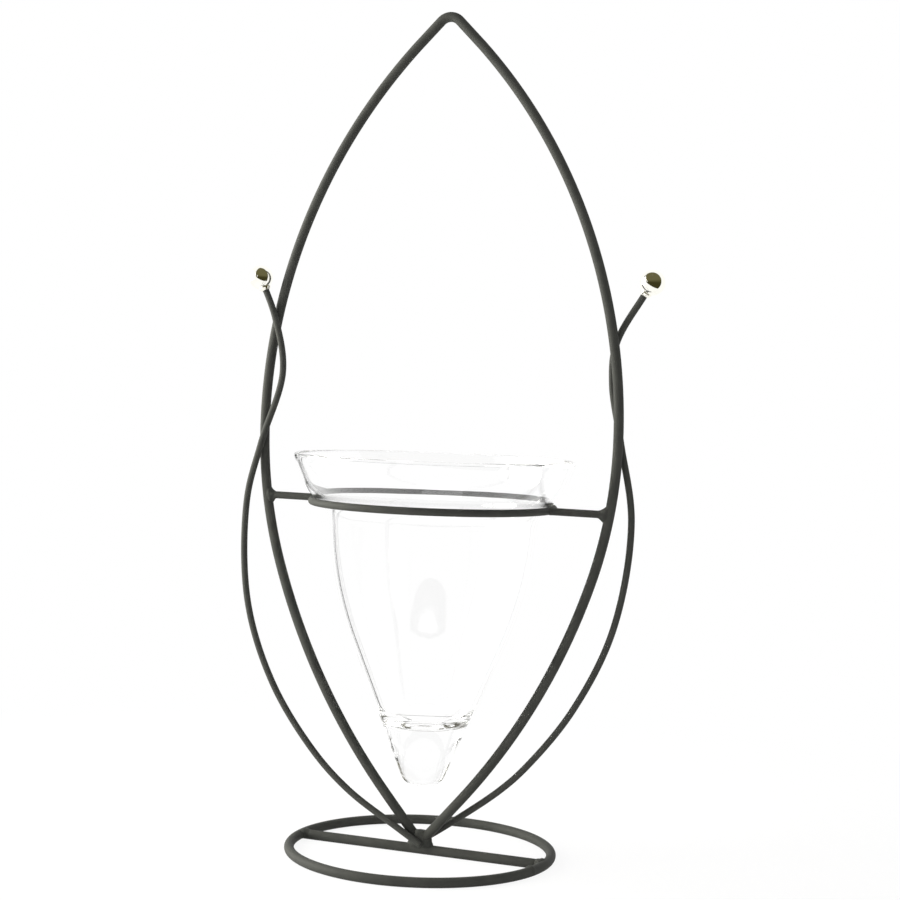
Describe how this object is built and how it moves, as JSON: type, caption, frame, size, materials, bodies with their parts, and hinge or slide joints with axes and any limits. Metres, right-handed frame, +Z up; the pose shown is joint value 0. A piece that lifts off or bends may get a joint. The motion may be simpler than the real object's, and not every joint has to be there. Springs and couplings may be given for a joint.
{
  "type": "glass vase with stand",
  "caption": "Tall drop-shaped clear glass vase hung by its flared lip in a ring, in a pointed oval stand of black wire with a round base and curling tendrils tipped with polished balls.",
  "frame": {"origin": "on the ground, at the underside of the base crossbar's middle, under the vase's axis", "axes": "+Z up along the vase's axis, +X to the right in the plane of the pointed frame, -Y towards the front"},
  "size_m": [0.2813, 0.181, 0.5438],
  "materials": {
    "black_wire": "satin black powder coat with a slight olive cast",
    "polished_ball": "mirror polished, faintly warm",
    "clear_glass": "clear, polished"
  },
  "bodies": {
    "stand": {"base_ring": "black_wire", "base_crossbar": "black_wire", "frame_rod": "black_wire", "vase_ring": "black_wire", "ring_arm_left": "black_wire", "ring_arm_right": "black_wire", "tendril_left": "black_wire", "tendril_right": "black_wire", "weld_foot": "black_wire", "weld_arm_left": "black_wire", "weld_arm_right": "black_wire", "weld_ring_left": "black_wire", "weld_ring_right": "black_wire", "weld_base_left": "black_wire", "weld_base_right": "black_wire", "weld_base_seam": "black_wire", "finial_ball_left": "polished_ball", "finial_ball_right": "polished_ball", "finial_collar_left": "polished_ball", "finial_collar_right": "polished_ball"},
    "vase": {"glass_vase": "clear_glass"}
  },
  "joints": [
    {"name": "vase_lift", "type": "slide", "parent": "stand", "child": "vase", "axis": [0, -0.2588, 0.9659], "range_m": [0, 0.191]}
  ]
}
